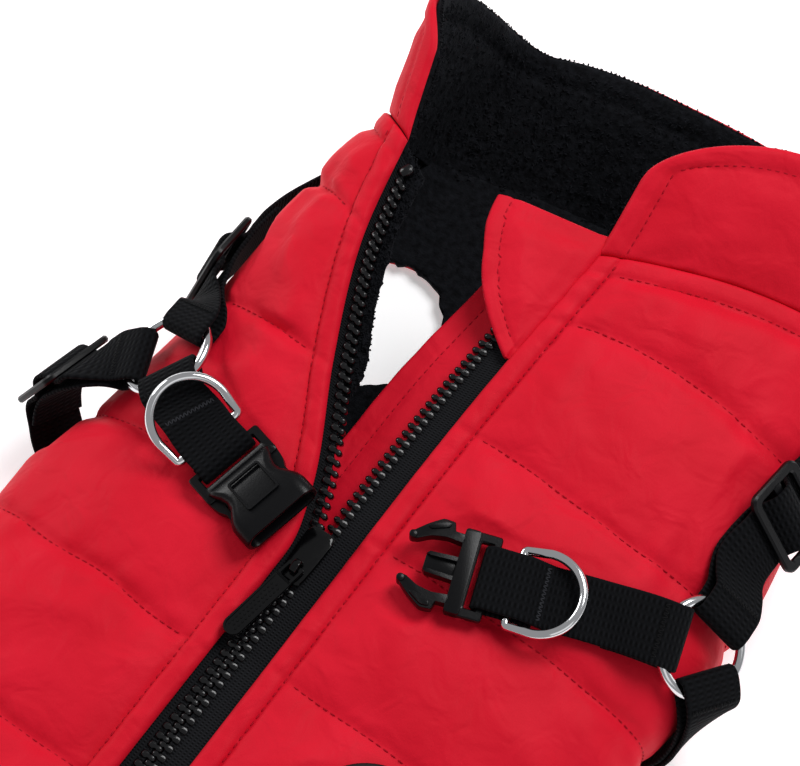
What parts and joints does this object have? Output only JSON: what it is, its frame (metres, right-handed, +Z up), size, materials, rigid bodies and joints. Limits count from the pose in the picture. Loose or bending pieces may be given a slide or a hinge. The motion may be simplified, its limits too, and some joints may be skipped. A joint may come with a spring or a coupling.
{
  "type": "dog winter jacket",
  "caption": "Padded quilted dog jacket with a stand-up fleece-lined collar, a half-open back zip and a built-in webbing harness with an open side-release buckle.",
  "frame": {"origin": "the middle of the jacket's box, on the surface that it lies on", "axes": "+Z up, +Y from hem to neck, +X to the side that is on the right seen from behind"},
  "size_m": [0.2255, 0.3988, 0.0874],
  "materials": {
    "red_shell": "matt woven polyester over wadding",
    "black_fleece": "matt polar fleece",
    "black_webbing": "matt ribbed webbing",
    "black_plastic": "satin moulded plastic",
    "zip_black": "moulded teeth on woven tape",
    "zip_metal": "dark gunmetal, polished",
    "chrome": "polished plating",
    "black_rubber": "matt"
  },
  "bodies": {
    "jacket": {"back_left": "red_shell", "back_right": "red_shell", "belly_panel": "red_shell", "belly_fleece": "black_fleece", "collar": "red_shell", "collar_fleece": "black_fleece", "left_facing": "black_fleece", "wind_flap": "red_shell", "chin_guard": "red_shell", "zip_left": "zip_black", "zip_right": "zip_black", "zip_slider": "zip_metal", "ring_left": "chrome", "ring_right": "chrome", "centre_strap_left": "black_webbing", "centre_strap_right": "black_webbing", "shoulder_strap_left": "black_webbing", "shoulder_strap_right": "black_webbing", "belly_strap_left": "black_webbing", "belly_strap_right": "black_webbing", "shoulder_glide_left": "black_plastic", "shoulder_glide_right": "black_plastic", "belly_glide_left": "black_plastic", "buckle_male": "black_plastic", "buckle_female": "black_plastic", "round_patch": "black_rubber"},
    "zip_pull": {"zip_pull": "zip_metal"},
    "dee_left": {"dee_left": "chrome"},
    "dee_right": {"dee_right": "chrome"}
  },
  "joints": [
    {"name": "zip_pull_hinge", "type": "hinge", "parent": "jacket", "child": "zip_pull", "pos_m": [-0.00669, -0.00875, 0.05353], "axis": [-0.9888, 0.1491, 0.0088], "range_deg": [0, 150]},
    {"name": "dee_left_hinge", "type": "hinge", "parent": "jacket", "child": "dee_left", "pos_m": [-0.04931, 0.00679, 0.05797], "axis": [0.2363, 0.9565, 0.1711], "range_deg": [0, 92]},
    {"name": "dee_right_hinge", "type": "hinge", "parent": "jacket", "child": "dee_right", "pos_m": [0.047, 0.02014, 0.05829], "axis": [0.3344, -0.9377, -0.0944], "range_deg": [0, 110]}
  ]
}
